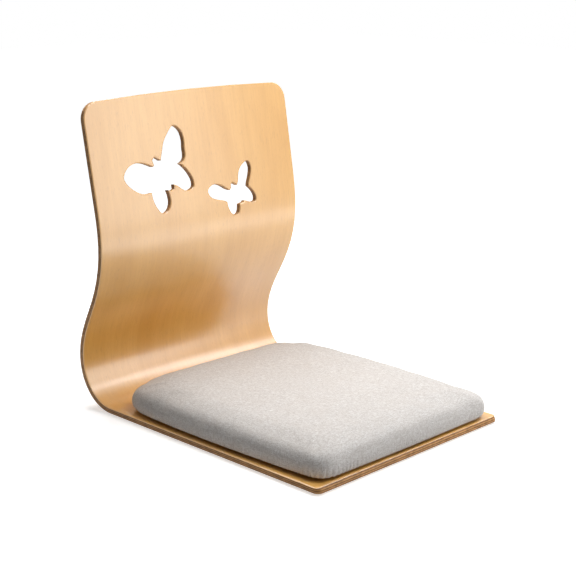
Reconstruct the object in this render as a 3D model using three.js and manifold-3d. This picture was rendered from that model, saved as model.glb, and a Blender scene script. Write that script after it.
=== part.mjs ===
// A legless bentwood floor chair. The shell is one sheet of seven veneers, pressed to a flat seat, a
// round lower bend and a back that leans, with two butterfly cut-outs. A loose cushion lies on the seat
// on hook-and-loop patches, and a zip in its rear wall lets the foam out.
// Millimetres. X runs across the seat, Y from the front edge to the back, Z up.

import * as THREE from "three";
import { mergeVertices } from "three/addons/utils/BufferGeometryUtils.js";
import Module from "manifold-3d";

const wasm = await Module();
wasm.setup();

const rightAngle = Math.PI / 2;
const toRadians = THREE.MathUtils.degToRad;

// Sheet of the shell, measured flat before it is pressed
const seatWidth = 400;
const seatLength = 447; // front edge to the start of the lower bend
const backRun = 522; // start of the lower bend to the top edge, along the sitter's side
const backFlare = 10.5; // how far each side of the back stands out past the seat
const topCrown = 4;
const topCornerRadius = 28;
const seatCornerRadius = 10;
const edgeRadius = 2;

// Layers of the sheet
const veneerThickness = 1.3;
const glueLine = 0.05;
const veneerNames = [
  "face_veneer_back",
  "core_veneer_5",
  "core_veneer_4",
  "core_veneer_3",
  "core_veneer_2",
  "core_veneer_1",
  "face_veneer_front",
];
const veneerPitch = veneerThickness + glueLine;
const shellThickness = veneerNames.length * veneerPitch - glueLine;

// Form of the press: the lower bend starts round and eases out, the lumbar bend eases in and out
const lowerBendAngle = toRadians(120);
const lowerBendRun = 186;
const lumbarBendAngle = toRadians(40);
const lumbarBendStart = 170;
const lumbarBendRun = 208;
const foldAngle = toRadians(6);
const longestFold = 20;
const shorterFoldShare = 0.9; // each try at a shorter fold

// Butterfly cut-outs, routed square to the pressed sheet. Outlines run counter-clockwise from the right
// of the head, in shares of the span, with the body upright: to the right and up from its middle.
const rimRadius = 1.2;
const largeButterfly = {
  span: 140,
  fromMiddle: -70,
  belowTop: 126,
  tilt: toRadians(32),
  headShares: [[0.019, 0.253], [-0.028, 0.247], [-0.05, 0.182], [-0.073, 0.186]],
  leftForewingShares: [
    [-0.141, 0.284], [-0.211, 0.349], [-0.312, 0.391], [-0.416, 0.376], [-0.473, 0.326],
    [-0.468, 0.217], [-0.419, 0.105], [-0.359, 0.029], [-0.273, -0.02],
  ],
  leftHindwingShares: [
    [-0.311, -0.101], [-0.324, -0.198], [-0.315, -0.269], [-0.289, -0.309], [-0.214, -0.317],
    [-0.139, -0.272], [-0.098, -0.197], [-0.08, -0.139],
  ],
  tailShares: [[-0.05, -0.176], [0.005, -0.191], [0.032, -0.148]],
  rightHindwingShares: [
    [0.063, -0.193], [0.098, -0.278], [0.148, -0.332], [0.219, -0.35], [0.262, -0.329],
    [0.288, -0.26], [0.29, -0.161], [0.272, -0.075], [0.255, -0.03],
  ],
  rightForewingShares: [
    [0.323, -0.034], [0.375, -0.004], [0.42, 0.068], [0.469, 0.128], [0.504, 0.215],
    [0.499, 0.291], [0.454, 0.356], [0.347, 0.338], [0.232, 0.297], [0.146, 0.232], [0.062, 0.168],
  ],
};
const smallButterfly = {
  span: 105,
  fromMiddle: 76,
  belowTop: 174,
  tilt: toRadians(26),
  headShares: [[0.008, 0.211], [-0.032, 0.202], [-0.06, 0.15], [-0.099, 0.137]],
  leftForewingShares: [
    [-0.146, 0.192], [-0.196, 0.272], [-0.258, 0.348], [-0.351, 0.397], [-0.449, 0.393],
    [-0.493, 0.345], [-0.477, 0.248], [-0.4, 0.162], [-0.299, 0.079], [-0.245, 0.015],
  ],
  leftHindwingShares: [
    [-0.265, -0.066], [-0.264, -0.169], [-0.231, -0.239], [-0.19, -0.27], [-0.133, -0.266],
    [-0.089, -0.224], [-0.05, -0.162],
  ],
  tailShares: [[-0.023, -0.164], [0.03, -0.18], [0.071, -0.169]],
  rightHindwingShares: [
    [0.105, -0.2], [0.172, -0.265], [0.247, -0.3], [0.291, -0.272], [0.308, -0.204],
    [0.296, -0.108], [0.262, -0.022],
  ],
  rightForewingShares: [
    [0.3, 0.023], [0.377, 0.084], [0.458, 0.166], [0.485, 0.234], [0.487, 0.29],
    [0.453, 0.326], [0.338, 0.322], [0.251, 0.292], [0.178, 0.229], [0.121, 0.157], [0.07, 0.122],
  ],
};

// Felt pads under the seat
const padRadius = 12;
const padThickness = 2;
const padSides = 32;
const padInset = 42; // pad centre to the seat's edges
const padFromBend = 20; // rear pad centre to the start of the lower bend

// Cushion: the margins are measured at its widest line
const cushionSideMargin = 3.5;
const cushionFrontMargin = 1.6;
const cushionRearMargin = 6.5;
const frontTaper = 6.5; // how far each side draws in towards the front
const sideBow = 3.5; // how far the sides swell between the corners
const frontBow = 0.7;
const frontCornerReach = 32.5;
const rearCornerReach = 80;
const edgeHeight = 45;
const crownRise = 3;
const bellyHeight = 13; // underside to the widest line
const seamInset = 12; // how far the lower seam is drawn in under the widest line
const shoulderReach = 52; // how far the soft shoulder runs in over the top
const coverThickness = 1.2;
const coverClearance = 0.3;

// Hook-and-loop patches
const patchLength = 60;
const patchWidth = 25;
const patchThickness = 1.2;
const patchInset = 48; // patch centre to the cushion's edges
const napGap = 0.1;

// Zip in the cushion's rear wall
const zipEndMargin = 4; // slot end to the round corner
const slotHeight = 8;
const tapeThickness = 0.9;
const tapeRecess = 0.15;
const coilWidth = 2.8;
const coilThickness = 2;
const zipClearance = 0.3;
const stopLength = 3;
const sliderLength = 9;
const sliderWall = 0.9;
const sliderSkirt = 0.8; // how far the slider's flanges reach down beside the coil
const bridgeWidth = 2;
const bridgePost = 1.1;
const bridgeHeight = 1.7; // clear height under the bridge
const pullLength = 20;
const pullWidth = 6;
const pullThickness = 0.8;
const pullEyeBar = 1;
const pullEyeLength = 4.6;
const pullEyeWidth = 3.2;

const overrun = 5; // how far a cutter runs past what it cuts
const faceOverrun = 0.05; // how far a rounded cutter runs past a face

const plywoodFace = { color: 0xe9c79b, roughness: 0.32 };
const plywoodCore = { color: 0xb98a55, roughness: 0.6 };
const coverCloth = { color: 0xd8d3cd, roughness: 0.95 };
const foam = { color: 0xf1e7c8, roughness: 0.9 };
const feltGrey = { color: 0x77716a, roughness: 1 };
const hookNylon = { color: 0x2c2a28, roughness: 0.8 };
const zipCloth = { color: 0xc9c3bc, roughness: 0.9 };
const zipMetal = { color: 0xb9bbbd, roughness: 0.35, metalness: 0.9 };

// Solids

function toSolid(geometry) {
  const bare = geometry.clone();
  bare.deleteAttribute("normal");
  bare.deleteAttribute("uv");
  const welded = mergeVertices(bare);
  const triVerts = new Uint32Array(welded.index.array);
  const vertProperties = new Float32Array(welded.attributes.position.array);
  return new wasm.Manifold(new wasm.Mesh({ numProp: 3, vertProperties, triVerts }));
}

function toGeometry(solid) {
  const mesh = solid.getMesh();
  const geometry = new THREE.BufferGeometry();
  geometry.setAttribute("position", new THREE.BufferAttribute(mesh.vertProperties, 3));
  geometry.setIndex(new THREE.BufferAttribute(mesh.triVerts, 1));
  geometry.computeVertexNormals();
  return geometry;
}

// A box whose faces lie exactly at the given values, so that boxes side by side share a face
function boxBetween(low, high) {
  const box = new THREE.BoxGeometry();
  const points = box.attributes.position;
  for (let i = 0; i < points.count; i += 1) {
    for (const axis of [0, 1, 2]) {
      const corner = points.getComponent(i, axis) > 0 ? high : low;
      points.setComponent(i, axis, corner[axis]);
    }
  }
  return box;
}

function named(name, geometry, finish) {
  const mesh = new THREE.Mesh(geometry, new THREE.MeshStandardMaterial(finish));
  mesh.name = name;
  return mesh;
}

// The pressed profile, seen from the side

function turnAt(run) {
  const lowerShare = THREE.MathUtils.clamp(run / lowerBendRun, 0, 1);
  const lumbarShare = THREE.MathUtils.clamp((run - lumbarBendStart) / lumbarBendRun, 0, 1);
  const lowerTurn = lowerBendAngle * Math.sin(rightAngle * lowerShare);
  const lumbarTurn = (lumbarBendAngle * (1 - Math.cos(Math.PI * lumbarShare))) / 2;
  return lowerTurn - lumbarTurn;
}

// Where the flat sheet is folded: a fold for every few degrees of turn
function foldRuns() {
  const bendEnd = Math.max(lowerBendRun, lumbarBendStart + lumbarBendRun);
  const runs = [0];
  let run = 0;
  while (run < bendEnd) {
    let step = longestFold;
    while (Math.abs(turnAt(run + step) - turnAt(run)) > foldAngle) {
      step *= shorterFoldShare;
    }
    run = Math.min(run + step, bendEnd);
    runs.push(run);
  }
  return runs;
}

// Each station is a line across the sitter's side of the sheet, with the turn of the sheet there
function pressStations() {
  const runs = [-seatLength - overrun, ...foldRuns(), backRun + topCrown + overrun];
  const stations = [{ run: runs[0], turn: 0, y: runs[0], z: shellThickness }];
  for (const run of runs.slice(1)) {
    const last = stations[stations.length - 1];
    const turn = turnAt(run);
    const chordTurn = turnAt((run + last.run) / 2);
    const y = last.y + (run - last.run) * Math.cos(chordTurn);
    const z = last.z + (run - last.run) * Math.sin(chordTurn);
    stations.push({ run, turn, y, z });
  }
  return stations;
}

const stations = pressStations();
const rearmost = Math.max(...stations.map((at) => at.y + shellThickness * Math.sin(at.turn)));

// The flat sheet

function halfWidthAt(run) {
  const share = THREE.MathUtils.clamp(run / backRun, 0, 1);
  return seatWidth / 2 + backFlare * Math.sin(rightAngle * share);
}

function boardShape() {
  const flareSteps = 8;
  const sideEnd = backRun - topCornerRadius;
  const seatCorner = seatWidth / 2 - seatCornerRadius;
  const topCorner = halfWidthAt(sideEnd) - topCornerRadius;
  const frontCorner = seatCornerRadius - seatLength;
  const shape = new THREE.Shape();
  shape.moveTo(-seatCorner, -seatLength);
  shape.absarc(seatCorner, frontCorner, seatCornerRadius, -rightAngle, 0, false);
  for (let i = 0; i < flareSteps; i += 1) {
    const run = (sideEnd * i) / flareSteps;
    shape.lineTo(halfWidthAt(run), run);
  }
  shape.absarc(topCorner, sideEnd, topCornerRadius, 0, rightAngle, false);
  shape.quadraticCurveTo(0, backRun + 2 * topCrown, -topCorner, backRun);
  shape.absarc(-topCorner, sideEnd, topCornerRadius, rightAngle, Math.PI, false);
  for (let i = flareSteps - 1; i >= 0; i -= 1) {
    const run = (sideEnd * i) / flareSteps;
    shape.lineTo(-halfWidthAt(run), run);
  }
  shape.absarc(-seatCorner, frontCorner, seatCornerRadius, Math.PI, Math.PI + rightAngle, false);
  return shape;
}

function boardGeometry() {
  const geometry = new THREE.ExtrudeGeometry(boardShape(), {
    depth: shellThickness - 2 * edgeRadius,
    bevelThickness: edgeRadius,
    bevelSize: edgeRadius,
    bevelOffset: -edgeRadius,
    bevelSegments: 3,
    curveSegments: 4,
  });
  return geometry.translate(0, 0, edgeRadius);
}

function butterflyShape(butterfly) {
  const centre = new THREE.Vector2(butterfly.fromMiddle, backRun - butterfly.belowTop);
  const place = ([right, up]) => {
    const point = new THREE.Vector2(right * butterfly.span, up * butterfly.span);
    return point.rotateAround(new THREE.Vector2(), butterfly.tilt).add(centre);
  };
  const start = place(butterfly.rightForewingShares[butterfly.rightForewingShares.length - 1]);
  const shape = new THREE.Shape();
  shape.moveTo(start.x, start.y);
  for (const corner of butterfly.headShares.map(place)) {
    shape.lineTo(corner.x, corner.y);
  }
  shape.splineThru(butterfly.leftForewingShares.map(place));
  shape.splineThru(butterfly.leftHindwingShares.map(place));
  for (const corner of butterfly.tailShares.map(place)) {
    shape.lineTo(corner.x, corner.y);
  }
  shape.splineThru(butterfly.rightHindwingShares.map(place));
  shape.splineThru(butterfly.rightForewingShares.map(place));
  return shape;
}

// The cutter opens out at both faces, which leaves the rim of the cut-out rounded
function butterflyCutter(butterfly) {
  const geometry = new THREE.ExtrudeGeometry(butterflyShape(butterfly), {
    depth: shellThickness - 2 * rimRadius,
    bevelThickness: rimRadius + faceOverrun,
    bevelSize: -rimRadius,
    bevelOffset: rimRadius,
    bevelSegments: 2,
    curveSegments: 2,
  });
  return toSolid(geometry.translate(0, 0, rimRadius));
}

// Cuts a flat layer at every station and joins the strips again, so that it has an edge at each fold
function scored(flat) {
  const half = seatWidth + backFlare;
  const strips = stations.slice(1).map((to, i) => {
    const lowCorner = [-half, stations[i].run, -overrun];
    const highCorner = [half, to.run, shellThickness + overrun];
    return flat.intersect(toSolid(boxBetween(lowCorner, highCorner))).asOriginal();
  });
  return strips.reduce((whole, strip) => whole.add(strip));
}

// Across, along and up through the flat sheet become X, Y and Z of the pressed one
function pressed(flat) {
  const geometry = toGeometry(scored(flat));
  const points = geometry.attributes.position;
  for (let i = 0; i < points.count; i += 1) {
    const run = points.getY(i);
    const depth = shellThickness - points.getZ(i);
    const next = stations.findIndex((at, n) => n > 0 && (at.run >= run || n === stations.length - 1));
    const [from, to] = [stations[next - 1], stations[next]];
    const share = (run - from.run) / (to.run - from.run);
    const [fromY, fromZ] = [from.y + depth * Math.sin(from.turn), from.z - depth * Math.cos(from.turn)];
    const [toY, toZ] = [to.y + depth * Math.sin(to.turn), to.z - depth * Math.cos(to.turn)];
    points.setY(i, THREE.MathUtils.lerp(fromY, toY, share));
    points.setZ(i, THREE.MathUtils.lerp(fromZ, toZ, share));
  }
  geometry.computeVertexNormals();
  return geometry;
}

function makeVeneers() {
  const shell = new THREE.Group();
  const board = toSolid(boardGeometry())
    .subtract(butterflyCutter(largeButterfly))
    .subtract(butterflyCutter(smallButterfly));
  veneerNames.forEach((name, layer) => {
    const half = seatWidth + backFlare;
    const low = layer === 0 ? -overrun : layer * veneerPitch;
    const isTop = layer === veneerNames.length - 1;
    const high = isTop ? shellThickness + overrun : layer * veneerPitch + veneerThickness;
    const lowCorner = [-half, -seatLength - overrun, low];
    const highCorner = [half, backRun + topCrown + overrun, high];
    const flat = board.intersect(toSolid(boxBetween(lowCorner, highCorner)));
    const finish = name.startsWith("face") ? plywoodFace : plywoodCore;
    shell.add(named(name, pressed(flat), finish));
  });
  return shell;
}

// Places on the seat, by corner

function corners() {
  const places = [];
  for (const [rowName, row] of [["front", -1], ["rear", 1]]) {
    for (const [sideName, side] of [["left", -1], ["right", 1]]) {
      places.push({ label: `${rowName}_${sideName}`, row, side });
    }
  }
  return places;
}

function makeFeltPads() {
  const group = new THREE.Group();
  for (const { label, row, side } of corners()) {
    const pad = new THREE.CylinderGeometry(padRadius, padRadius, padThickness, padSides);
    pad.rotateX(rightAngle);
    const mesh = named(`felt_pad_${label}`, pad, feltGrey);
    const y = row < 0 ? padInset - seatLength : -padFromBend;
    mesh.position.set(side * (seatWidth / 2 - padInset), y, -padThickness / 2);
    group.add(mesh);
  }
  return group;
}

// The cushion, in its own frame: Z is 0 at its underside, Y is 0 at the start of the lower bend

const cushionHalf = seatWidth / 2 - cushionSideMargin;
const cushionFront = cushionFrontMargin - seatLength;
const cushionRear = -cushionRearMargin;
const cushionMiddle = (cushionFront + cushionRear) / 2;
const cushionHalfDepth = (cushionRear - cushionFront) / 2;
const cushionBase = shellThickness + 2 * patchThickness + napGap;

// Points along each curve of the outline, and rings in the belly, shoulder and crown: those of the
// cover's outside, and those of the surfaces that it hides
const outlineSteps = 5;
const outsideSteps = [4, 7, 3];
const hiddenSteps = [2, 4, 1];

// Widest outline of the cushion, from above: bowed sides and soft corners
function cushionOutline() {
  const rear = cushionRear;
  const front = cushionFront + frontBow;
  const rearHalf = cushionHalf;
  const frontHalf = rearHalf - frontTaper;
  const along = (share) => frontHalf + frontTaper * share;
  const depth = rear - front;
  const frontShare = frontCornerReach / depth;
  const rearShare = 1 - rearCornerReach / depth;
  const bowedHalf = (along(frontShare) + along(rearShare)) / 2 + 2 * sideBow;
  const shape = new THREE.Shape();
  shape.moveTo(frontCornerReach - frontHalf, front);
  shape.quadraticCurveTo(0, front - 2 * frontBow, frontHalf - frontCornerReach, front);
  shape.quadraticCurveTo(frontHalf, front, along(frontShare), front + frontCornerReach);
  shape.quadraticCurveTo(bowedHalf, cushionMiddle, along(rearShare), rear - rearCornerReach);
  shape.quadraticCurveTo(rearHalf, rear, rearHalf - rearCornerReach, rear);
  shape.lineTo(rearCornerReach - rearHalf, rear);
  shape.quadraticCurveTo(-rearHalf, rear, -along(rearShare), rear - rearCornerReach);
  shape.quadraticCurveTo(-bowedHalf, cushionMiddle, -along(frontShare), front + frontCornerReach);
  shape.quadraticCurveTo(-frontHalf, front, frontCornerReach - frontHalf, front);
  return shape.getPoints(outlineSteps).slice(1);
}

// Section through the cushion's edge, from the lower seam out to the widest line, up over the shoulder
// and in to the crown, each point as inset from the widest outline and height. It lies the given depth
// under the surface.
function edgeSection(under, [bellySteps, shoulderSteps, crownSteps]) {
  const section = [];
  for (let i = 0; i < bellySteps; i += 1) {
    const angle = (rightAngle * i) / bellySteps;
    const inset = seamInset - (seamInset - under) * Math.sin(angle);
    section.push([inset, bellyHeight - (bellyHeight - under) * Math.cos(angle)]);
  }
  const shoulderRise = edgeHeight - bellyHeight;
  for (let i = 0; i <= shoulderSteps; i += 1) {
    const angle = (rightAngle * i) / shoulderSteps;
    const inset = shoulderReach - (shoulderReach - under) * Math.cos(angle);
    section.push([inset, bellyHeight + (shoulderRise - under) * Math.sin(angle)]);
  }
  for (let i = 1; i <= crownSteps; i += 1) {
    const share = i / (crownSteps + 1);
    const inset = shoulderReach + (cushionHalf - shoulderReach) * share;
    section.push([inset, edgeHeight - under + crownRise * (1 - (1 - share) ** 2)]);
  }
  return section;
}

// A closed form through rings of one outline, with its first and last rings closed by fans
function ringForm(outline, section, startHeight, endHeight) {
  const positions = [0, cushionMiddle, startHeight];
  for (const [inset, height] of section) {
    const acrossShare = 1 - inset / cushionHalf;
    const alongShare = 1 - inset / cushionHalfDepth;
    for (const point of outline) {
      const y = cushionMiddle + (point.y - cushionMiddle) * alongShare;
      positions.push(point.x * acrossShare, y, height);
    }
  }
  positions.push(0, cushionMiddle, endHeight);
  const count = outline.length;
  const end = 1 + section.length * count;
  const index = [];
  for (let i = 0; i < count; i += 1) {
    const next = (i + 1) % count;
    index.push(0, 1 + next, 1 + i);
    for (let ring = 0; ring + 1 < section.length; ring += 1) {
      const low = 1 + ring * count;
      const high = low + count;
      index.push(low + i, low + next, high + next, low + i, high + next, high + i);
    }
    index.push(end - count + i, end - count + next, end);
  }
  const geometry = new THREE.BufferGeometry();
  geometry.setAttribute("position", new THREE.Float32BufferAttribute(positions, 3));
  geometry.setIndex(index);
  geometry.computeVertexNormals();
  return geometry;
}

// Zip slot: where the tapes and the coil lie in the rear wall
const zipHalf = cushionHalf - rearCornerReach - zipEndMargin;

function makeCoverTop() {
  const outline = cushionOutline();
  const outside = edgeSection(0, outsideSteps);
  const inside = edgeSection(coverThickness, hiddenSteps);
  const crown = edgeHeight + crownRise;
  const section = [...inside.reverse(), ...outside];
  const cover = toSolid(ringForm(outline, section, crown - coverThickness, crown));
  const lowCorner = [-zipHalf, cushionRear - coverThickness - coverClearance, bellyHeight - slotHeight / 2];
  const highCorner = [zipHalf, cushionRear + overrun, bellyHeight + slotHeight / 2];
  const slotted = cover.subtract(toSolid(boxBetween(lowCorner, highCorner)));
  return named("cover_top", toGeometry(slotted), coverCloth);
}

function makeCoverBase() {
  const inset = seamInset + coverClearance;
  const section = [[inset, 0], [inset, coverThickness]];
  const panel = ringForm(cushionOutline(), section, 0, coverThickness);
  return named("cover_base", panel, coverCloth);
}

function makeFoam() {
  const under = coverThickness + coverClearance;
  const section = edgeSection(under, hiddenSteps);
  const block = ringForm(cushionOutline(), section, under, edgeHeight + crownRise - under);
  return named("foam_pad", block, foam);
}

function makePatches(label, bottom, finish) {
  const group = new THREE.Group();
  for (const corner of corners()) {
    const x = corner.side * (cushionHalf - patchInset - patchLength / 2);
    const y = cushionMiddle + corner.row * (cushionHalfDepth - patchInset);
    const lowCorner = [x - patchLength / 2, y - patchWidth / 2, bottom];
    const highCorner = [x + patchLength / 2, y + patchWidth / 2, bottom + patchThickness];
    group.add(named(`${label}_${corner.label}`, boxBetween(lowCorner, highCorner), finish));
  }
  return group;
}

// The zip, in its own frame: X along the coil, Y out of the cushion from its rear wall, Z up

function makeZipTapes() {
  const group = new THREE.Group();
  const inner = coilWidth / 2 + zipClearance;
  const outer = slotHeight / 2 - zipClearance;
  const half = zipHalf - zipClearance;
  const deep = -tapeRecess - tapeThickness;
  const upper = boxBetween([-half, deep, inner], [half, -tapeRecess, outer]);
  const lower = boxBetween([-half, deep, -outer], [half, -tapeRecess, -inner]);
  group.add(named("zip_tape_upper", upper, zipCloth));
  group.add(named("zip_tape_lower", lower, zipCloth));
  return group;
}

const coilHalf = zipHalf - stopLength - 2 * zipClearance;
const coilBack = -tapeRecess - tapeThickness;
const coilFront = coilBack + coilThickness;

function makeZipCoil() {
  const group = new THREE.Group();
  const half = coilWidth / 2;
  const coil = boxBetween([-coilHalf, coilBack, -half], [coilHalf, coilFront, half]);
  group.add(named("zip_coil", coil, zipCloth));
  for (const [label, side] of [["left", -1], ["right", 1]]) {
    const inner = side * (coilHalf + zipClearance);
    const outer = side * (coilHalf + zipClearance + stopLength);
    const low = [Math.min(inner, outer), coilBack, -half];
    const high = [Math.max(inner, outer), coilFront, half];
    group.add(named(`zip_stop_${label}`, boxBetween(low, high), zipMetal));
  }
  return group;
}

const sliderBack = coilFront + zipClearance;
const sliderFront = sliderBack + sliderWall;
const bridgeMiddle = sliderFront + bridgeHeight / 2;

// A channel over the coil, with a bridge along it for the pull
function makeZipSlider() {
  const half = coilWidth / 2 + zipClearance;
  const end = sliderLength / 2;
  const skirt = sliderBack - sliderSkirt;
  const channel = new THREE.Shape();
  channel.moveTo(skirt, half);
  channel.lineTo(sliderBack, half);
  channel.lineTo(sliderBack, -half);
  channel.lineTo(skirt, -half);
  channel.lineTo(skirt, -half - sliderWall);
  channel.lineTo(sliderFront, -half - sliderWall);
  channel.lineTo(sliderFront, half + sliderWall);
  channel.lineTo(skirt, half + sliderWall);
  const body = new THREE.ExtrudeGeometry(channel, { depth: sliderLength, bevelEnabled: false });
  body.translate(0, 0, -end);
  body.rotateY(rightAngle);
  body.rotateX(rightAngle);
  const arch = new THREE.Shape();
  const top = sliderFront + bridgeHeight + bridgePost;
  const corner = bridgePost;
  arch.moveTo(-end, sliderBack);
  arch.lineTo(end, sliderBack);
  arch.lineTo(end, top - corner);
  arch.quadraticCurveTo(end, top, end - corner, top);
  arch.lineTo(corner - end, top);
  arch.quadraticCurveTo(-end, top, -end, top - corner);
  const hole = new THREE.Path();
  hole.moveTo(bridgePost - end, sliderFront);
  hole.lineTo(bridgePost - end, sliderFront + bridgeHeight);
  hole.lineTo(end - bridgePost, sliderFront + bridgeHeight);
  hole.lineTo(end - bridgePost, sliderFront);
  arch.holes.push(hole);
  const bridge = new THREE.ExtrudeGeometry(arch, {
    depth: bridgeWidth,
    bevelEnabled: false,
    curveSegments: 3,
  });
  bridge.translate(0, 0, -bridgeWidth / 2);
  return named("zip_slider", toGeometry(toSolid(body).add(toSolid(bridge))), zipMetal);
}

// A flat tab with an eye: the bar at the eye's end turns under the bridge
function makeZipPull() {
  const half = pullWidth / 2;
  const start = pullEyeBar / 2;
  const tip = start - pullLength;
  const eyeEnd = -pullEyeBar / 2 - pullEyeLength;
  const tab = new THREE.Shape();
  const corner = half / 2;
  tab.moveTo(start, -half);
  tab.lineTo(start, half);
  tab.lineTo(tip + corner, half);
  tab.quadraticCurveTo(tip, half, tip, half - corner);
  tab.lineTo(tip, corner - half);
  tab.quadraticCurveTo(tip, -half, tip + corner, -half);
  const eye = new THREE.Path();
  eye.moveTo(-pullEyeBar / 2, -pullEyeWidth / 2);
  eye.lineTo(eyeEnd, -pullEyeWidth / 2);
  eye.lineTo(eyeEnd, pullEyeWidth / 2);
  eye.lineTo(-pullEyeBar / 2, pullEyeWidth / 2);
  tab.holes.push(eye);
  const plate = new THREE.ExtrudeGeometry(tab, {
    depth: pullThickness,
    bevelEnabled: false,
    curveSegments: 4,
  });
  plate.translate(0, 0, -pullThickness / 2);
  plate.rotateX(-rightAngle);
  return named("zip_pull", toGeometry(toSolid(plate)), zipMetal);
}

function makeZip() {
  const zip = new THREE.Group();
  zip.add(makeZipTapes());
  zip.add(makeZipCoil());
  const closedEnd = coilHalf - sliderLength / 2;
  const slider = makeZipSlider();
  slider.position.x = closedEnd;
  zip.add(slider);
  const pull = makeZipPull();
  pull.position.set(closedEnd, bridgeMiddle, 0);
  zip.add(pull);
  zip.position.set(0, cushionRear, bellyHeight);
  return zip;
}

function makeCushion() {
  const cushion = new THREE.Group();
  cushion.add(makeCoverTop());
  cushion.add(makeCoverBase());
  cushion.add(makeFoam());
  cushion.add(makePatches("loop_strip", -patchThickness, hookNylon));
  cushion.add(makeZip());
  cushion.position.z = cushionBase;
  return cushion;
}

// The chair stands on its felt pads, with the middle of its footprint over the origin
const chair = new THREE.Group();
chair.add(makeVeneers());
chair.add(makeFeltPads());
chair.add(makePatches("hook_strip", shellThickness, hookNylon));
chair.add(makeCushion());
chair.position.set(0, (seatLength - rearmost) / 2, padThickness);

export default chair;
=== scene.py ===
"""A legless floor chair: a lacquered bentwood shell with butterfly cut-outs, and a zipped linen cushion."""
import math

import bpy
import numpy as np
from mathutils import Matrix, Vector


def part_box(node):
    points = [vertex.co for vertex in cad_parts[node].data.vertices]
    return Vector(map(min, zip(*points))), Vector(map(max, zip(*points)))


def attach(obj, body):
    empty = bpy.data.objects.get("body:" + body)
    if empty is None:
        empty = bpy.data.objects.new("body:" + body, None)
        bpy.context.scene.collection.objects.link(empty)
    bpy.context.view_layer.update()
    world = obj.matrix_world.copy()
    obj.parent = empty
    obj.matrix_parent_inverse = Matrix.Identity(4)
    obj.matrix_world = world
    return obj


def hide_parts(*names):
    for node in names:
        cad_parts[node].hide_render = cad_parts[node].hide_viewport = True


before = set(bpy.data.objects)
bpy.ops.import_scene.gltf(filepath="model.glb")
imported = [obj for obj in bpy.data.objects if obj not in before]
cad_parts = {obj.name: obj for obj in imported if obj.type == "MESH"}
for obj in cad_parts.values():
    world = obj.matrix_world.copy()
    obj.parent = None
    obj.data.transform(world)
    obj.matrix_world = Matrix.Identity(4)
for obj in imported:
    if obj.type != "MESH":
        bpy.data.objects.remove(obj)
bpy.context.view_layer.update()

mm = 0.001
merge_distance = 0.002 * mm

# Shell: how its profile turns beyond the flat seat, and how far that profile is followed
seat_length, back_run, profile_step = 447 * mm, 530 * mm, 1 * mm
lower_bend_angle, lower_bend_run = math.radians(120), 186 * mm
lumbar_angle, lumbar_start, lumbar_run = math.radians(40), 170 * mm, 208 * mm

# Rims of the shell: the outer ones are eased by sanding, and the seat's front rim is rounded over by a
# wider radius, where the top veneer sinks by less than its own thickness
eased_rim = 1.15 * mm
front_roll, veneer_thickness, deepest_sink = 8 * mm, 1.3 * mm, 1.05 * mm
roll_cuts = (0.25, 0.47, 0.72, 1)

# How a face lies, as the cosine between its normal and a direction
square_on, edge_on, in_line, same_side = 0.9, 0.5, 0.98, 0.75

# Angles in degrees: faces that differ by less than the first are merged, and rims that turn by more than
# one of the others stay sharp
merge_angle = 0.4
ply_angle, part_angle, sheet_angle, cloth_angle = 12, 30, 40, 50

# Cushion: the blank is cut small, swells under pressure and may move no further than the caps
blank_voxel, blank_inset = 5 * mm, 1.4 * mm
pressure, swell_frames = 4, 20
swell_cap, shrink_cap = 2 * mm, 0.6 * mm
underside_band, foam_ease = 3 * mm, 5 * mm

# Form of the blank: bands round its rim, dents along the upper one, and two corners that reach further
rim_start, rim_climb = 0.8, 0.1
shoulder_height, shoulder_spread, shoulder_push, shoulder_lift = 46 * mm, 9 * mm, 3.2 * mm, 0.4
foot_height, foot_spread, foot_push = 15 * mm, 5 * mm, 4 * mm
dent_depth, dent_start, dent_swing = 2 * mm, 0.3, 0.5
dents_round, fine_dents_round, drifts_round, fine_dent_share, fine_dent_drift = 17, 29, 3, 0.7, 2.2
rear_left_push, front_right_push = 5.5 * mm, 1.8 * mm
corner_start, corner_climb = 0.72, 0.2

# Gathers of the cover, drawn in by its lower seam
gather_spacing, gather_height, seam_band = 7 * mm, 26 * mm, 0.6 * mm
corner_gather_depth, side_gather_depth = 2.4 * mm, 1.5 * mm
gather_start, gather_climb = 0.86, 0.08
gather_corner_level, gather_corner_fall = 1.6, 2.2
fold_sharpness, fold_fade = 0.7, 1.2
fold_reach, fold_reach_swing, fold_reach_wander = 0.6, 0.4, 0.7
slow_wander, slow_wander_length, quick_wander, quick_wander_length = 2.3, 31 * mm, 1.1, 11.7 * mm

# Zip and stitches
pocket_depth = 4 * mm
tooth_pitch, tooth_length_share, tooth_height_share, tooth_stagger_share = 2.4 * mm, 0.42, 0.62, 0.19
stitch_length, stitch_pitch, stitch_width, stitch_rise = 3 * mm, 4.2 * mm, 0.8 * mm, 0.1 * mm
tape_stitch_shift, patch_stitch_inset = 0.5 * mm, 1.6 * mm

# Radii of the small parts' softened rims
glide_rim, foam_rim, tape_rim, tooth_rim = 0.5 * mm, 3 * mm, 0.2 * mm, 0.35 * mm
metal_rim, patch_rim, stitch_rim = 0.16 * mm, 0.3 * mm, 0.24 * mm

# Stage, in metres: the floor's glow grows from its least level, near, to full, far
floor_size, glow_near, glow_far, least_glow = 12, 0.4, 1.4, 0.6
ambient = 0.03
lamp_aim = (0.05, 0, 0.22)

# Camera: its place in metres, its turn in degrees, and its sensor and lens in millimetres
camera_place, camera_turn = (-1.40762, -1.40312, 0.72944), (75.1606, 0, -45.1516)
sensor_width, lens_length = 36, 84.208


# Handling of meshes


def nodes_like(prefix):
    return sorted(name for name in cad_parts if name.startswith(prefix))


def pick(*objects):
    """Selects these objects and nothing else."""
    bpy.ops.object.select_all(action="DESELECT")
    for item in objects:
        item.select_set(True)
    bpy.context.view_layer.objects.active = objects[0]


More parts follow.
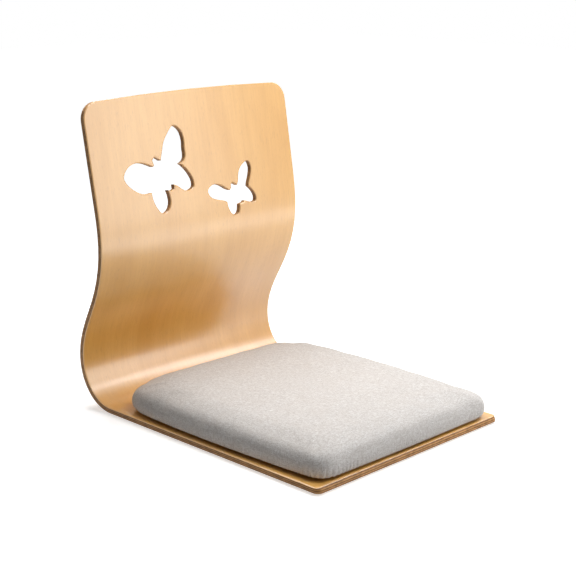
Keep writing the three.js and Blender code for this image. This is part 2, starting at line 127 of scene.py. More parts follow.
def apply_modifier(piece, kind, **settings):
    """Adds one modifier with its settings and applies it."""
    pick(piece)
    modifier = piece.modifiers.new(kind.title(), kind)
    for key, value in settings.items():
        setattr(modifier, key, value)
    bpy.ops.object.modifier_apply(modifier=modifier.name)


def merged_copy(name, *nodes):
    """A mesh of its own made of copies of CAD nodes, their loose triangles merged."""
    copies = []
    for node in nodes:
        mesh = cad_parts[node].data.copy()
        mesh.materials.clear()
        copies.append(bpy.data.objects.new(node + "_copy", mesh))
        bpy.context.scene.collection.objects.link(copies[-1])
    piece = joined(name, copies)
    bpy.ops.object.mode_set(mode="EDIT")
    bpy.ops.mesh.select_all(action="SELECT")
    bpy.ops.mesh.remove_doubles(threshold=merge_distance)
    bpy.ops.object.mode_set(mode="OBJECT")
    return piece


def joined(name, parts):
    pick(*parts)
    if len(parts) > 1:
        bpy.ops.object.join()
    piece = parts[0]
    piece.name = piece.data.name = name
    return piece


def smooth(piece, degrees=part_angle):
    pick(piece)
    bpy.ops.object.shade_smooth_by_angle(angle=math.radians(degrees))
    return piece


def softened(piece, radius, segments=2):
    """Rounds a small part's rims and shades it smooth."""
    apply_modifier(piece, "BEVEL", width=radius, segments=segments, limit_method="ANGLE")
    return smooth(piece)


def points_of(piece):
    return np.array([vertex.co for vertex in piece.data.vertices], float).reshape(-1, 3)


def set_points(piece, points):
    piece.data.vertices.foreach_set("co", points.astype(np.float32).ravel())
    piece.data.update()


def place_in_mesh(piece):
    """Leaves the object at the origin, with its place in its mesh."""
    pick(piece)
    bpy.ops.object.transform_apply(location=True, rotation=True, scale=True)
    return piece


def dress(piece, body, slot, material, *nodes):
    """Gives a piece its material and its body, and hides the nodes that it stands for; the slot is not
    used.
    """
    piece.data.materials.clear()
    piece.data.materials.append(material)
    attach(piece, body)
    if nodes:
        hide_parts(*nodes)


# Materials


def linear(code):
    """An sRGB hex colour as linear RGBA."""
    channels = [int(code[i:i + 2], 16) / 255 for i in (1, 3, 5)]
    return [c / 12.92 if c <= 0.04045 else ((c + 0.055) / 1.055) ** 2.4 for c in channels] + [1]


def add_node(tree, kind, settings=None, links=None):
    """Adds a node with its settings, its colours as hex codes, its colour stops and the links into it."""
    node = tree.nodes.new(kind)
    for key, value in (settings or {}).items():
        if key == "stops":
            ramp = node.color_ramp.elements
            while len(ramp) < len(value):
                ramp.new(1)
            for element, (position, code) in zip(ramp, value):
                element.position = position
                element.color = linear(code)
        elif isinstance(key, int) or key in node.inputs:
            is_colour = isinstance(value, str) and value.startswith("#")
            node.inputs[key].default_value = linear(value) if is_colour else value
        else:
            setattr(node, key, value)
    for key, source in (links or {}).items():
        tree.links.new(source, node.inputs[key])
    return node


def empty_tree(owner):
    """The node tree of a new material or world, with no node in it."""
    owner.use_nodes = True
    owner.node_tree.nodes.clear()
    return owner.node_tree


def finish_material(tree, links, **sockets):
    """Ends a material in one Principled shader, its constants on the shader's own sockets."""
    settings = {name.replace("_", " "): value for name, value in sockets.items()}
    shader = add_node(tree, "ShaderNodeBsdfPrincipled", settings, links)
    add_node(tree, "ShaderNodeOutputMaterial", links={"Surface": shader.outputs["BSDF"]})


def pattern(tree, size, detail=2, roughness=0.5, distortion=0):
    """Noise whose features measure size, (x, y, z) in metres, on the piece's own coordinates."""
    place = add_node(tree, "ShaderNodeTexCoord").outputs["Object"]
    scale = [1 / s for s in size]
    stretched = add_node(tree, "ShaderNodeMapping", {"Scale": scale}, {"Vector": place}).outputs["Vector"]
    settings = {"Scale": 1, "Detail": detail, "Roughness": roughness, "Distortion": distortion}
    return add_node(tree, "ShaderNodeTexNoise", settings, {"Vector": stretched}).outputs["Fac"]


def two_tone(name, size, noise, stops, relief=None, **sockets):
    """A material whose colour runs through the stops by one pattern, noise being its detail, roughness and
    distortion, and whose surface it raises by relief, (distance, strength)."""
    material = bpy.data.materials.new(name)
    tree = empty_tree(material)
    field = pattern(tree, size, *noise)
    colour = add_node(tree, "ShaderNodeValToRGB", {"stops": stops}, {"Fac": field}).outputs["Color"]
    links = {"Base Color": colour}
    if relief:
        settings = {"Distance": relief[0], "Strength": relief[1]}
        links["Normal"] = add_node(tree, "ShaderNodeBump", settings, {"Height": field}).outputs["Normal"]
    finish_material(tree, links, **sockets)
    return material


def lacquered_veneer():
    """Rotary-cut birch under satin lacquer: honey wood with a faint figure, fine flecks that run up the
    pressed profile, and a broad soft gloss that turns it pale."""
    material = bpy.data.materials.new("satin_lacquered_birch")
    tree = empty_tree(material)
    figure = pattern(tree, (40 * mm, 160 * mm, 160 * mm), 2, 0.5, 0.4)
    stripes = pattern(tree, (3.2 * mm, 90 * mm, 90 * mm), 3, 0.6)
    # real pores are 0.1 mm wide, drawn coarser so that they show
    flecks = pattern(tree, (1.3 * mm, 9 * mm, 9 * mm), 1, 0.5)
    stops = [(0.3, "#e2a74d"), (0.7, "#eeb65d")]
    colour = add_node(tree, "ShaderNodeValToRGB", {"stops": stops}, {"Fac": figure}).outputs["Color"]
    for field, low, high, tint in ((stripes, 0.35, 0.65, "#d2933b"), (flecks, 0.6, 0.72, "#b5762f")):
        ends = {"From Min": low, "From Max": high, "To Max": 0.22}
        share = add_node(tree, "ShaderNodeMapRange", ends, {"Value": field}).outputs["Result"]
        settings = {"data_type": "RGBA", 7: tint}
        colour = add_node(tree, "ShaderNodeMix", settings, {0: share, 6: colour}).outputs[2]
    ends = {"From Min": 0.3, "From Max": 0.7, "To Min": 0.38, "To Max": 0.48}
    satin = add_node(tree, "ShaderNodeMapRange", ends, {"Value": stripes}).outputs["Result"]
    relief = {"Distance": 0.03 * mm, "Strength": 0.15}
    normal = add_node(tree, "ShaderNodeBump", relief, {"Height": flecks}).outputs["Normal"]
    finish_material(
        tree, {"Base Color": colour, "Roughness": satin, "Normal": normal},
        Specular_IOR_Level=0.1, Coat_Weight=1, Coat_Roughness=0.28, Coat_IOR=2.1
    )
    return material


def veneer_edge(name, light, dark):
    """The cut edge of one veneer, sanded and lacquered: dull brown with fine lines along the sheet."""
    return two_tone(
        name, (9 * mm, 12 * mm, 5 * mm), (3, 0.6), [(0.35, dark), (0.65, light)], (0.1 * mm, 0.4),
        Roughness=0.6, Specular_IOR_Level=0.2, Coat_Weight=0.25, Coat_Roughness=0.35, Coat_IOR=1.5
    )


def heathered_linen():
    """Linen-look cloth woven of mixed greys: matt, with slubs both ways and a faint fuzz at its rims."""
    material = bpy.data.materials.new("heathered_linen")
    tree = empty_tree(material)
    # threads are 0.6 mm apart, drawn at about twice that so that they show
    thread, slub = 1.3 * mm, 7 * mm
    yarns = pattern(tree, (slub, thread, thread), 2, 0.6)
    for size in ((thread, slub, thread), (thread, thread, slub)):
        links = {0: yarns, 1: pattern(tree, size, 2, 0.6)}
        yarns = add_node(tree, "ShaderNodeMath", {"operation": "MAXIMUM"}, links).outputs[0]
    stops = [(0.46, "#beb8b3"), (0.6, "#dad6d3"), (0.72, "#ececea")]
    cloth = add_node(tree, "ShaderNodeValToRGB", {"stops": stops}, {"Fac": yarns}).outputs["Color"]
    clouds = pattern(tree, (26 * mm, 26 * mm, 26 * mm), 2, 0.5)
    ends = {"From Min": 0.35, "From Max": 0.65, "To Max": 0.22}
    share = add_node(tree, "ShaderNodeMapRange", ends, {"Value": clouds}).outputs["Result"]
    settings = {"data_type": "RGBA", 7: "#cfc8c1"}
    colour = add_node(tree, "ShaderNodeMix", settings, {0: share, 6: cloth}).outputs[2]
    relief = {"Distance": 0.5 * mm, "Strength": 0.5}
    normal = add_node(tree, "ShaderNodeBump", relief, {"Height": yarns}).outputs["Normal"]
    finish_material(
        tree, {"Base Color": colour, "Normal": normal},
        Roughness=0.95, Specular_IOR_Level=0.2, Sheen_Weight=0.25, Sheen_Roughness=0.5
    )
    return material


def plain_base_cloth():
    """Plain lining cloth of the cushion's underside: darker grey and close woven."""
    return two_tone(
        "close_woven_lining", (1.1 * mm, 1.1 * mm, 1.1 * mm), (1, 0.5),
        [(0.35, "#8f8880"), (0.65, "#a59e96")], (0.3 * mm, 0.5), Roughness=0.95, Specular_IOR_Level=0.2
    )


def pressed_felt():
    """Pressed wool felt: dull dark grey with a matted nap."""
    return two_tone(
        "pressed_felt", (1.4 * mm, 1.4 * mm, 1.4 * mm), (4, 0.7, 1.5),
        [(0.35, "#5f5a54"), (0.65, "#8b857d")], (0.5 * mm, 0.7),
        Roughness=1, Specular_IOR_Level=0.1, Sheen_Weight=0.3
    )


def nylon_nap(name, dark, light, depth):
    """Woven nylon with rows of hooks or loops: a dull, bristly surface."""
    return two_tone(
        name, (0.9 * mm, 0.9 * mm, 0.9 * mm), (2, 0.6),
        [(0.35, dark), (0.7, light)], (depth, 0.8), Roughness=0.7, IOR=1.53
    )


def polyester_tape():
    """Zip tape: twill-woven polyester with fine ribs along its length."""
    return two_tone(
        "twill_polyester_tape", (6 * mm, 0.5 * mm, 0.5 * mm), (1, 0.5),
        [(0.35, "#aaa39c"), (0.65, "#cdc7c0")], (0.2 * mm, 0.6), Roughness=0.8, Specular_IOR_Level=0.3
    )


def moulded_nylon():
    """Nylon monofilament of the coil: smooth and slightly waxy."""
    return two_tone(
        "nylon_monofilament", (4 * mm, 4 * mm, 4 * mm), (1, 0.5),
        [(0.3, "#bdb6ae"), (0.7, "#cfc9c2")], Roughness=0.35, IOR=1.53
    )


def spun_thread():
    """Spun polyester sewing thread: matt, a shade lighter than the cloth."""
    return two_tone(
        "spun_polyester_thread", (0.4 * mm, 0.4 * mm, 0.4 * mm), (1, 0.5),
        [(0.3, "#b9b2aa"), (0.7, "#d8d3cd")], Roughness=0.8, Specular_IOR_Level=0.3
    )


def nickel_plate():
    """Die-cast zinc with nickel plate: bright, with a soft orange-peel and rubbed faces."""
    material = bpy.data.materials.new("nickel_plated_zinc")
    tree = empty_tree(material)
    wear = pattern(tree, (1.5 * mm, 1.5 * mm, 1.5 * mm), 3, 0.6)
    stops = [(0.3, "#b3b1ad"), (0.7, "#cfcdc9")]
    colour = add_node(tree, "ShaderNodeValToRGB", {"stops": stops}, {"Fac": wear}).outputs["Color"]
    ends = {"From Min": 0.3, "From Max": 0.7, "To Min": 0.22, "To Max": 0.38}
    rubbed = add_node(tree, "ShaderNodeMapRange", ends, {"Value": wear}).outputs["Result"]
    finish_material(tree, {"Base Color": colour, "Roughness": rubbed}, Metallic=1)
    return material


def open_cell_foam():
    """Polyurethane foam: creamy and matt, pitted with open cells, with painted shade in the pits, which the
    field that sinks them also colours darker.
    """
    material = bpy.data.materials.new("open_cell_foam")
    tree = empty_tree(material)
    place = add_node(tree, "ShaderNodeTexCoord").outputs["Object"]
    size = {"Scale": 1 / (1.6 * mm)}
    cells = add_node(tree, "ShaderNodeTexVoronoi", size, {"Vector": place}).outputs["Distance"]
    # painted shade: the cell field is low in the pits, so they take the darker cream
    stops = [(0.2, "#cdb98c"), (0.6, "#ebdfbd")]
    colour = add_node(tree, "ShaderNodeValToRGB", {"stops": stops}, {"Fac": cells}).outputs["Color"]
    relief = {"Distance": 0.6 * mm, "Strength": 0.7}
    normal = add_node(tree, "ShaderNodeBump", relief, {"Height": cells}).outputs["Normal"]
    finish_material(tree, {"Base Color": colour, "Normal": normal}, Roughness=1, Specular_IOR_Level=0.1)
    return material


# Shell


def bend_profile():
    """Places (y, z) along the sheet from its front edge to its top, and the turn from level at each."""
    low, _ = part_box("face_veneer_front")
    run = np.arange(-seat_length, back_run, profile_step)
    lower = np.clip(run / lower_bend_run, 0, 1)
    lumbar = np.clip((run - lumbar_start) / lumbar_run, 0, 1)
    turn = lower_bend_angle * np.sin(math.pi / 2 * lower)
    turn -= lumbar_angle * (1 - np.cos(math.pi * lumbar)) / 2
    y = low.y + np.concatenate([[0], np.cumsum(np.cos(turn[1:]) * profile_step)])
    z = low.z + np.concatenate([[0], np.cumsum(np.sin(turn[1:]) * profile_step)])
    return np.stack([y, z], axis=1), turn


def bend_normals(points):
    """The sitter's side normal of the bent sheet nearest each point."""
    places, turn = bend_profile()
    nearest = np.array([np.argmin(((places - point[1:]) ** 2).sum(axis=1)) for point in points])
    return np.stack([np.zeros(len(points)), -np.sin(turn[nearest]), np.cos(turn[nearest])], axis=1)


def round_rim(distance):
    """How far the rounded front rim lies below the seat, this far behind its front, and just as well how
    far behind the front it lies, this far below the seat."""
    short = front_roll - np.clip(distance, 0, front_roll)
    return front_roll - np.sqrt(front_roll ** 2 - short ** 2)


def roll_front(piece, sinks=False):
    """Rounds the seat's front rim over: a layer ends further back the higher it lies. The top one, which
    sinks, ends where its underside does and follows the round down."""
    low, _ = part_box("face_veneer_front")
    points = points_of(piece)
    behind = points[:, 1] - low.y
    depth = np.clip(low.z + veneer_thickness - points[:, 2], 0, front_roll)
    start = round_rim(np.full(len(points), veneer_thickness) if sinks else depth)
    moved = start + behind * (1 - start / front_roll)
    near = behind < front_roll
    points[near, 1] = low.y + moved[near]
    if sinks:
        sink = np.minimum(round_rim(moved), deepest_sink) * (1 - depth / veneer_thickness)
        points[near, 2] -= sink[near]
    set_points(piece, points)


def cut_for_roll(sheet, front):
    """Cuts the sheet across behind its front, so that it can follow the round."""
    bpy.ops.object.mode_set(mode="EDIT")
    for share in roll_cuts:
        bpy.ops.mesh.select_all(action="SELECT")
        bpy.ops.mesh.bisect(plane_co=(0, front + share * front_roll, 0), plane_no=(0, 1, 0))
    bpy.ops.object.mode_set(mode="OBJECT")


def weigh_outer_rims(sheet, side):
    """Marks the edges between the sheet's outer face and its rims for the bevel."""
    mesh = sheet.data
    outward = side * bend_normals([polygon.center for polygon in mesh.polygons])
    broad, rim = set(), set()
    for out, polygon in zip(outward, mesh.polygons):
        share = out @ np.array(polygon.normal)
        if share > square_on:
            broad.update(polygon.edge_keys)
        elif abs(share) < edge_on:
            rim.update(polygon.edge_keys)
    weights = mesh.attributes.new("bevel_weight_edge", "FLOAT", "EDGE")
    for edge in mesh.edges:
        weights.data[edge.index].value = 1 if edge.key in broad and edge.key in rim else 0


def shade_along_bend(sheet, inward):
    """Gives the corners on the sheet's broad faces the bend's own normals."""
    mesh = sheet.data
    normals = [corner.vector.copy() for corner in mesh.corner_normals]
    on_broad = set()
    for polygon in mesh.polygons:
        if abs(inward[polygon.vertices[0]] @ np.array(polygon.normal)) > in_line:
            on_broad.update(polygon.vertices)
    for polygon in mesh.polygons:
        for loop in polygon.loop_indices:
            vertex = mesh.loops[loop].vertex_index
            share = inward[vertex] @ np.array(polygon.normal)
            if vertex in on_broad and abs(share) > same_side:
                normals[loop] = Vector(inward[vertex] * math.copysign(1, share))
    mesh.normals_split_custom_set(normals)


def eased_sheet(name, node, side):
    """A face veneer in one skin, its outer rims eased by sanding and its bends shaded as one smooth sweep.
    The side is 1 for the sitter's sheet, which also rolls over at the front, and -1 for the rear one."""
    sheet = merged_copy(name, node)
    apply_modifier(sheet, "DECIMATE", decimate_type="DISSOLVE", angle_limit=math.radians(merge_angle))
    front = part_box(node)[0].y
    if side > 0:
        cut_for_roll(sheet, front)
    weigh_outer_rims(sheet, side)
    apply_modifier(
        sheet, "BEVEL", width=eased_rim, segments=2, limit_method="WEIGHT", use_clamp_overlap=False
    )
    inward = bend_normals(points_of(sheet))
    if side > 0:
        roll_front(sheet, sinks=True)
        lean = np.clip(1 - (points_of(sheet)[:, 1] - front) / front_roll, 0, 1)
        rolled = np.stack([0 * lean, -lean, np.sqrt(1 - lean ** 2)], axis=1)
        inward[lean > 0] = rolled[lean > 0]
    smooth(sheet, sheet_angle)
    shade_along_bend(sheet, inward)
    return sheet


def make_shell():
    face = lacquered_veneer()
    long_grain = veneer_edge("long_grain_veneer_edge", "#d8a267", "#b07f49")
    cross_grain = veneer_edge("cross_grain_veneer_edge", "#a0713f", "#7a532b")
    for side, direction in (("front", 1), ("back", -1)):
        node = "face_veneer_" + side
        sheet = eased_sheet("lacquered_sheet_" + side, node, direction)
        dress(sheet, "shell", "lacquered_birch", face, node)
    for count, node in enumerate(nodes_like("core_veneer")):
        ply = merged_copy(node.replace("core_veneer", "core_ply"), node)
        roll_front(ply)
        dress(smooth(ply, ply_angle), "shell", "core_plies", long_grain if count % 2 else cross_grain, node)


def make_felt_pads():
    felt = pressed_felt()
    for node in nodes_like("felt_pad"):
        pad = merged_copy(node.replace("felt_pad", "glide"), node)
        dress(softened(pad, glide_rim, 3), "shell", "felt", felt, node)


# Cushion


def climb(values, start, width):
    """Nought up to the start, one from the width past it, and a straight climb between."""
    return np.clip((values - start) / width, 0, 1)


def band(heights, middle, spread):
    """One at the middle height, fading to nought over about twice the spread on both sides."""
    return np.exp(-((heights - middle) / spread) ** 2)


def in_plan(points, low, high):
    """Seen from above: each point's offset from the cushion's middle, the size of that offset as shares of
    the half width and half depth, and the direction away from the middle."""
    low, high = np.array(low), np.array(high)
    flat = points[:, :2] - ((low + high) / 2)[:2]
    shares = np.abs(flat / ((high - low) / 2)[:2])
    return flat, shares, flat / np.maximum(np.linalg.norm(flat, axis=1), 1 * mm)[:, None]


def cushion_blank(low, high):
    """The cushion's closed form, remeshed evenly and cut small all round but underneath, then drawn out
    where the foam and the seam hold the cloth."""
    filling = ("foam_pad", "zip_tape_upper", "zip_tape_lower")
    blank = merged_copy("cushion_cover", "cover_top", "cover_base", *filling)
    apply_modifier(blank, "REMESH", mode="VOXEL", voxel_size=blank_voxel)
    points = points_of(blank)
    centre = (np.array(low) + np.array(high)) / 2
    shrink = 1 - blank_inset / ((np.array(high) - np.array(low)) / 2)
    points[:, :2] = centre[:2] + (points[:, :2] - centre[:2]) * shrink[:2]
    bottom = points[:, 2].min()
    top_share = (points[:, 2] - bottom) / (points[:, 2].max() - bottom)
    points[:, 2] = low[2] + top_share * (high[2] - low[2] - blank_inset)
    # the foam's corners hold the cloth out along the upper rim
    flat, shares, direction = in_plan(points, low, high)
    at_rim = climb(shares.max(axis=1), rim_start, rim_climb)
    shoulder = band(points[:, 2], shoulder_height, shoulder_spread) * at_rim
    points[:, :2] += direction * (shoulder_push * shoulder)[:, None]
    points[:, 2] += shoulder_lift * shoulder_push * shoulder
    # the seam holds the wall upright down to the seat
    foot = band(points[:, 2], foot_height, foot_spread) * at_rim
    # the cushion has shifted a little askew, so that two opposite corners reach further
    is_rear, is_right = flat[:, 1] > 0, flat[:, 0] > 0
    askew = rear_left_push * (is_rear & (flat[:, 0] < 0)) + front_right_push * (~is_rear & is_right)
    corner = askew * climb(shares.min(axis=1), corner_start, corner_climb)
    points[:, :2] += direction * (foot_push * foot + corner)[:, None]
    # the stuffing leaves shallow dents along the upper rim
    angle = np.arctan2(flat[:, 1], flat[:, 0])
    drift = fine_dent_drift * np.sin(drifts_round * angle)
    dents = np.sin(dents_round * angle + 1) + fine_dent_share * np.sin(fine_dents_round * angle + drift)
    dents = np.clip(dent_start + dent_swing * dents, 0, 1)
    points[:, :2] -= direction * (dent_depth * shoulder * dents)[:, None]
    set_points(blank, points)
    return blank


def swollen(pad, held):
    """Cloth simulation: the blank swells under pressure while the held points stay."""
    start = points_of(pad)
    group = pad.vertex_groups.new(name="held")
    group.add([int(i) for i in np.flatnonzero(held)], 1, "REPLACE")
    pick(pad)
    cloth = pad.modifiers.new("Swell", "CLOTH")
    settings = cloth.settings
    settings.quality = 5
    settings.mass = 0.3
    settings.tension_stiffness = settings.compression_stiffness = 15
    settings.shear_stiffness = 5
    settings.bending_stiffness = 0.5
    settings.use_pressure = True
    settings.uniform_pressure_force = pressure
    settings.effector_weights.gravity = 0
    settings.vertex_group_mass = "held"
    for number in range(1, swell_frames + 1):
        bpy.context.scene.frame_set(number)
    bpy.ops.object.modifier_apply(modifier=cloth.name)
    pad.vertex_groups.clear()
    moved = points_of(pad) - start
    moved *= (swell_cap / np.maximum(np.linalg.norm(moved, axis=1), swell_cap))[:, None]
    # the rim draws in no further than its own cap
    _, shares, outward = in_plan(start, start.min(axis=0), start.max(axis=0))
    excess = np.minimum(0, (moved[:, :2] * outward).sum(axis=1) + shrink_cap)
    moved[:, :2] -= outward * (excess * climb(shares.max(axis=1), rim_start, rim_climb))[:, None]
    set_points(pad, start + moved)
    bpy.context.scene.frame_set(1)


def divide_wall(pad, low):
    """Divides the wall's lower part once more, for the gathers."""
    pick(pad)
    bpy.ops.object.mode_set(mode="EDIT")
    bpy.ops.mesh.select_all(action="DESELECT")
    bpy.ops.object.mode_set(mode="OBJECT")
    for polygon in pad.data.polygons:
        polygon.select = abs(polygon.normal.z) < square_on and polygon.center.z < low.z + gather_height
    bpy.ops.object.mode_set(mode="EDIT")
    bpy.ops.mesh.subdivide(number_cuts=1)
    bpy.ops.object.mode_set(mode="OBJECT")


def outline_run(low, high):
    """Angle round the cushion's middle against length along its outline, at its widest line."""
    flat, _, _ = in_plan(points_of(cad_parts["cover_top"]), low, high)
    angles = np.radians(np.arange(-180, 181, 3))
    reach = np.array([(flat @ np.array([math.cos(a), math.sin(a)])).max() for a in angles])
    rim = reach[:, None] * np.stack([np.cos(angles), np.sin(angles)], axis=1)
    run = np.concatenate([[0], np.cumsum(np.linalg.norm(np.diff(rim, axis=0), axis=1))])
    return angles, run


def gather(pad, low, high):
    """Draws the cloth into small upright folds above the lower seam, deepest at the corners."""
    points = points_of(pad)
    flat, shares, direction = in_plan(points, low, high)
    along = np.interp(np.arctan2(flat[:, 1], flat[:, 0]), *outline_run(low, high))
    off_corner = np.abs(shares[:, 0] - shares[:, 1])
    corner = np.clip(gather_corner_level - gather_corner_fall * off_corner, 0, 1)
    outer = climb(shares.max(axis=1), gather_start, gather_climb)
    height = points[:, 2] - low[2]
    # the folds keep neither their spacing nor their height
    wander = slow_wander * np.sin(along / slow_wander_length)
    wander += quick_wander * np.sin(along / quick_wander_length + 1.3)
    phase = math.pi * along / gather_spacing + wander
    fold = np.abs(np.sin(phase)) ** fold_sharpness
    swing = fold_reach_swing * np.sin(2 * phase + fold_reach_wander * wander)
    reach = gather_height * (fold_reach + swing)
    fade = np.clip(1 - height / reach, 0, 1) ** fold_fade
    depth = side_gather_depth + (corner_gather_depth - side_gather_depth) * corner
    inward = (1 - fold) * fade * depth * outer * (height > seam_band)
    points[:, :2] -= direction * inward[:, None]
    set_points(pad, points)


def cut_zip_pocket(pad):
    """Opens the rear wall where the zip lies."""
    tape_low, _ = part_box("zip_tape_lower")
    _, tape_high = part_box("zip_tape_upper")
    _, cover_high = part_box("cover_top")
    middle, size = (tape_low + tape_high) / 2, tape_high - tape_low
    depth = pocket_depth + (cover_high.y - tape_high.y) + swell_cap
    place = (middle.x, tape_low.y - pocket_depth + depth / 2, middle.z)
    bpy.ops.object.select_all(action="DESELECT")
    bpy.ops.mesh.primitive_cube_add(size=1, location=place)
    cutter = bpy.context.object
    cutter.scale = (size.x, depth, size.z)
    place_in_mesh(cutter)
    apply_modifier(pad, "BOOLEAN", operation="DIFFERENCE", object=cutter, solver="EXACT")
    bpy.data.objects.remove(cutter)


def make_cover(low, high):
    pad = cushion_blank(low, high)
    swollen(pad, points_of(pad)[:, 2] < low.z + underside_band)
    apply_modifier(pad, "SUBSURF", levels=1, render_levels=1)
    divide_wall(pad, low)
    gather(pad, low, high)
    cut_zip_pocket(pad)
    dress(smooth(pad, cloth_angle), "cushion", "cover_cloth", heathered_linen(), "cover_top", "cover_base")
    pad.data.materials.append(plain_base_cloth())
    for polygon in pad.data.polygons:
        if polygon.normal.z < -square_on and polygon.center.z < low.z + underside_band:
            polygon.material_index = 1


def make_foam():
    """The slab inside, small enough to stay clear of the cover's cloth."""
    foam = merged_copy("foam_slab", "foam_pad")
    inner = points_of(foam)
    low, high = inner.min(axis=0), inner.max(axis=0)
    middle, reach = (low + high) / 2, (high - low) / 2
    set_points(foam, middle + (inner - middle) * (1 - foam_ease / reach))
    dress(softened(foam, foam_rim), "cushion", "foam", open_cell_foam(), "foam_pad")


def make_cushion():
    cover_low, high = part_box("cover_top")
    base_low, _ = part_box("cover_base")
    make_cover(Vector((cover_low.x, cover_low.y, base_low.z)), high)
    make_foam()


# Zip, stitches and patches


def row_of(name, template, places):
    """Copies of a small part, one at each place, (location, turn about Z), as one piece."""
    parts = []
    for location, turn in places:
        part = template.copy()
        part.data = template.data.copy()
        bpy.context.scene.collection.objects.link(part)
        part.rotation_euler = (0, 0, turn)
        part.location = location
        parts.append(part)
    bpy.data.objects.remove(template)
    return place_in_mesh(joined(name, parts))


def stitch_run(start, end):
    """Middles of the stitches of one straight seam."""
    return np.arange(start + stitch_pitch, end - stitch_pitch / 2, stitch_pitch)


def sew(name, places):
    """Lockstitches of the cushion, one at each place, (location, turn about Z), as one piece."""
    bpy.ops.object.select_all(action="DESELECT")
    bpy.ops.mesh.primitive_cylinder_add(
        vertices=6, radius=stitch_width / 2, depth=stitch_length, rotation=(0, math.pi / 2, 0)
    )
    thread = softened(place_in_mesh(bpy.context.object), stitch_rim, 1)
    dress(row_of(name, thread, places), "cushion", "cover_cloth", spun_thread())


def make_teeth():
    """The coil's teeth, by turns above and below its middle."""
    low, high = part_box("zip_coil")
    middle, size = (low + high) / 2, high - low
    bpy.ops.object.select_all(action="DESELECT")
    bpy.ops.mesh.primitive_cube_add(size=1)
    tooth = bpy.context.object
    tooth.scale = (tooth_pitch * tooth_length_share, size.y, size.z * tooth_height_share)
    softened(place_in_mesh(tooth), tooth_rim)
    places, step = [], tooth_pitch / 2
    for i in range(int((size.x - tooth_pitch) / step)):
        x = low.x + step + i * step
        stagger = size.z * tooth_stagger_share * (1 if i % 2 else -1)
        places.append(((x, middle.y, middle.z + stagger), 0))
    coil = row_of("zip_teeth", tooth, places)
    dress(coil, "cushion", "zip_tape_and_coil", moulded_nylon(), "zip_coil")


def make_zip():
    tape, nickel = polyester_tape(), nickel_plate()
    places = []
    for node, rim in (("zip_tape_upper", 1), ("zip_tape_lower", -1)):
        strip = merged_copy(node.replace("zip_tape", "woven_tape"), node)
        dress(softened(strip, tape_rim), "cushion", "zip_tape_and_coil", tape, node)
        low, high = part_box(node)
        height = (low.z + high.z) / 2 + rim * tape_stitch_shift
        places += [((x, high.y, height), 0) for x in stitch_run(low.x, high.x)]
    sew("zip_stitches", places)
    make_teeth()
    for node in ("zip_stop_left", "zip_stop_right", "zip_slider", "zip_pull"):
        part = merged_copy(node.replace("zip", "nickel"), node)
        body = "cushion" if node.startswith("zip_stop") else node
        dress(softened(part, metal_rim), body, "zip_metal", nickel, node)


def make_patches():
    hooks = nylon_nap("moulded_nylon_hooks", "#1d1b1a", "#3a3734", 0.6 * mm)
    loops = nylon_nap("brushed_nylon_loops", "#2a2826", "#4b4743", 0.4 * mm)
    for prefix, body, material in (("hook_strip", "shell", hooks), ("loop_strip", "cushion", loops)):
        for node in nodes_like(prefix):
            strip = merged_copy(node.replace("strip", "patch"), node)
            dress(softened(strip, patch_rim), body, "hook_and_loop", material, node)
    inset, places = patch_stitch_inset, []
    for node in nodes_like("loop_strip"):
        low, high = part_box(node)
        level = low.z + stitch_width / 2 - stitch_rise
        for x in stitch_run(low.x, high.x):
            places += [((x, low.y + inset, level), 0), ((x, high.y - inset, level), 0)]
        for y in stitch_run(low.y, high.y):
            places += [((low.x + inset, y, level), math.pi / 2), ((high.x - inset, y, level), math.pi / 2)]
    sew("patch_stitches", places)


# Stage


def seen_rays(tree):
    """One for camera, glossy and transmission rays, which see the white background, and else nought."""
    rays = add_node(tree, "ShaderNodeLightPath")
    seen = rays.outputs["Is Camera Ray"]
    for kind in ("Is Glossy Ray", "Is Transmission Ray"):
        links = {0: seen, 1: rays.outputs[kind]}
        seen = add_node(tree, "ShaderNodeMath", {"operation": "MAXIMUM"}, links).outputs[0]
    return seen


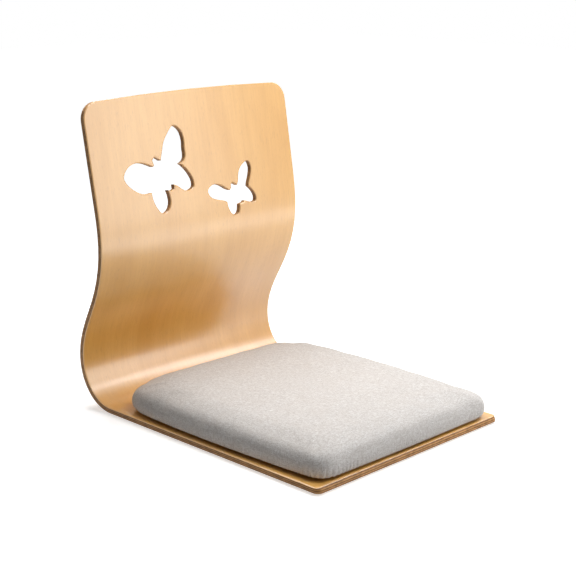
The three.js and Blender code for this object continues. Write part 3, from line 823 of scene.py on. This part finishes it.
def make_floor():
    """Pale paint that takes the shadows, with a glow that lifts it to white for the seen rays."""
    bpy.ops.object.select_all(action="DESELECT")
    bpy.ops.mesh.primitive_plane_add(size=floor_size)
    floor = bpy.context.object
    floor.name = "floor"
    material = bpy.data.materials.new("pale_studio_floor")
    tree = empty_tree(material)
    place = add_node(tree, "ShaderNodeTexCoord").outputs["Object"]
    away = add_node(tree, "ShaderNodeVectorMath", {"operation": "LENGTH"}, {0: place}).outputs["Value"]
    ends = {"From Min": glow_near, "From Max": glow_far, "To Min": least_glow}
    share = add_node(tree, "ShaderNodeMapRange", ends, {"Value": away}).outputs["Result"]
    links = {0: seen_rays(tree), 1: share}
    lift = add_node(tree, "ShaderNodeMath", {"operation": "MULTIPLY"}, links).outputs[0]
    paint = add_node(tree, "ShaderNodeBsdfDiffuse", {"Color": "#dcdcdc"}).outputs[0]
    glow = add_node(tree, "ShaderNodeEmission", {"Color": "#ffffff"}, {"Strength": lift}).outputs[0]
    both = add_node(tree, "ShaderNodeAddShader", links={0: paint, 1: glow}).outputs[0]
    add_node(tree, "ShaderNodeOutputMaterial", links={"Surface": both})
    floor.data.materials.append(material)


def make_world():
    """White where it is seen, and a faint ambient light elsewhere."""
    world = bpy.data.worlds.new("white_studio")
    bpy.context.scene.world = world
    tree = empty_tree(world)
    links = {"Value": seen_rays(tree)}
    strength = add_node(tree, "ShaderNodeMapRange", {"To Min": ambient}, links).outputs["Result"]
    sky = add_node(tree, "ShaderNodeBackground", {"Color": "#ffffff"}, {"Strength": strength})
    add_node(tree, "ShaderNodeOutputWorld", links={"Surface": sky.outputs[0]})


def add_lamp(name, location, width, depth, radiance, target=lamp_aim):
    """A soft box whose face has the given radiance."""
    data = bpy.data.lights.new(name, "AREA")
    data.shape = "RECTANGLE"
    data.size, data.size_y = width, depth
    data.energy = radiance * math.pi * width * depth
    lamp = bpy.data.objects.new(name, data)
    bpy.context.scene.collection.objects.link(lamp)
    lamp.location = location
    lamp.rotation_euler = (Vector(target) - Vector(location)).to_track_quat("-Z", "Y").to_euler()
    lamp.visible_camera = False


def make_camera():
    data = bpy.data.cameras.new("camera")
    data.sensor_width = sensor_width
    data.lens = lens_length
    camera = bpy.data.objects.new("camera", data)
    bpy.context.scene.collection.objects.link(camera)
    camera.location = camera_place
    camera.rotation_euler = [math.radians(turn) for turn in camera_turn]
    bpy.context.scene.camera = camera


make_camera()
make_world()
make_floor()
add_lamp("above_behind", (0.15, 0.54, 1.4), 0.9, 0.6, 9.3)
add_lamp("overhead_front", (0.28, -0.62, 1.46), 0.6, 0.6, 9.1)
add_lamp("high_right", (0.97, -0.34, 1.07), 0.8, 0.34, 5.2)
add_lamp("front", (0.77, -0.99, 0.56), 0.5, 0.88, 2.4)
# a soft box that lies on the floor, faces up and lights the walls from below
add_lamp("on_floor", (0.68, -0.72, 0.012), 0.8, 0.86, 1.5, target=(0.68, -0.719, 1))
bpy.context.scene.view_settings.view_transform = "Standard"

make_shell()
make_felt_pads()
make_cushion()
make_zip()
make_patches()
